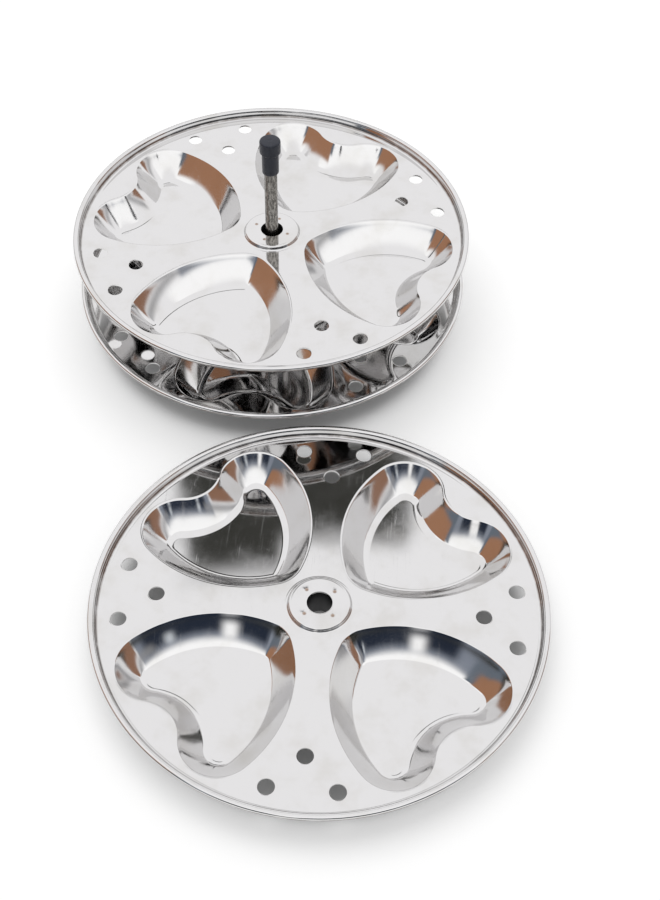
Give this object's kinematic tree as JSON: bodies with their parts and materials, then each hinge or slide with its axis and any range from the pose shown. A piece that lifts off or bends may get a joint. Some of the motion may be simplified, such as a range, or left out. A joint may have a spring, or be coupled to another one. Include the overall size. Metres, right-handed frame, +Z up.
{
  "type": "idli stand",
  "caption": "Tiered stand of round pressed-steel plates with heart-shaped cups on a capped centre rod, one plate set down in front, for steaming idli.",
  "frame": {"origin": "On the rod's axis, at the level of the table that the foot and the plate in front stand on", "axes": "+Z up along the rod; the plate set down in front lies towards -Y, and +X is to the right seen from there"},
  "size_m": [0.2295, 0.3984, 0.1096],
  "materials": {
    "polished_steel": "mirror polished stainless sheet",
    "steel": "plain drawn stainless steel",
    "rod_steel": "drawn steel rod, satin",
    "cap_plastic": "moulded black plastic, satin"
  },
  "bodies": {
    "stand": {"foot": "steel", "foot_washer": "steel", "rod_nut": "steel", "rod": "rod_steel", "rod_cap": "cap_plastic"},
    "lower_tier": {"lower_plate": "polished_steel", "lower_hub": "steel"},
    "spacer": {"spacer_sleeve": "steel"},
    "upper_tier": {"upper_plate": "polished_steel", "upper_hub": "steel"},
    "front_tier": {"front_plate": "polished_steel", "front_hub": "steel"}
  },
  "joints": [
    {"name": "lower_tier_turn", "type": "hinge", "parent": "stand", "child": "lower_tier", "pos_m": [0, 0, 0.0199], "axis": [0, 0, 1], "continuous": true},
    {"name": "spacer_lift", "type": "slide", "parent": "lower_tier", "child": "spacer", "axis": [0, 0, 1], "range_m": [0, 0.092]},
    {"name": "upper_tier_turn", "type": "hinge", "parent": "spacer", "child": "upper_tier", "pos_m": [0, 0, 0.0526], "axis": [0, 0, 1], "continuous": true},
    {"name": "front_tier_lift", "type": "slide", "parent": "stand", "child": "front_tier", "axis": [0, 0, 1], "range_m": [0, 0.12]}
  ]
}
